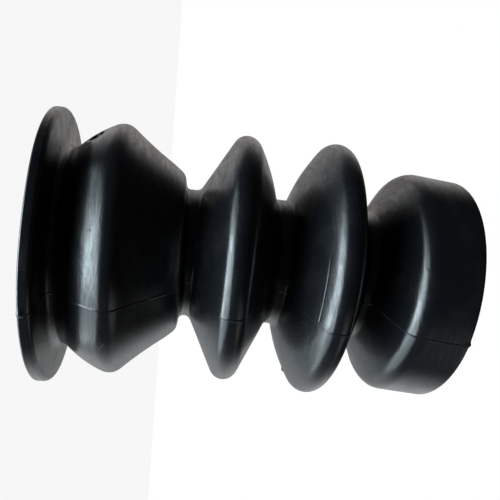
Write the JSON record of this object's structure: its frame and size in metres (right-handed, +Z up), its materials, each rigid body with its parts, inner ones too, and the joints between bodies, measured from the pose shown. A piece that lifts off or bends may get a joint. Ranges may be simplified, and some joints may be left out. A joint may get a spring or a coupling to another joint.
{
  "type": "dust boot",
  "caption": "Moulded rubber dust boot: a round flange, folded bellows skin and a plain collar, hollow right through, with a small vent hole.",
  "frame": {"origin": "centre of the flange's flat outer face, which the boot stands on", "axes": "+Z up along the boot from the flange to the collar; the soft boot leans a little towards +X at each neck; the vent hole faces -X and a little towards -Y; -Y is the side that the picture shows"},
  "size_m": [0.0725, 0.072, 0.1102],
  "materials": {
    "moulded_rubber": "satin, moulded"
  },
  "bodies": {
    "root": {"dust_boot": "moulded_rubber"}
  },
  "joints": []
}
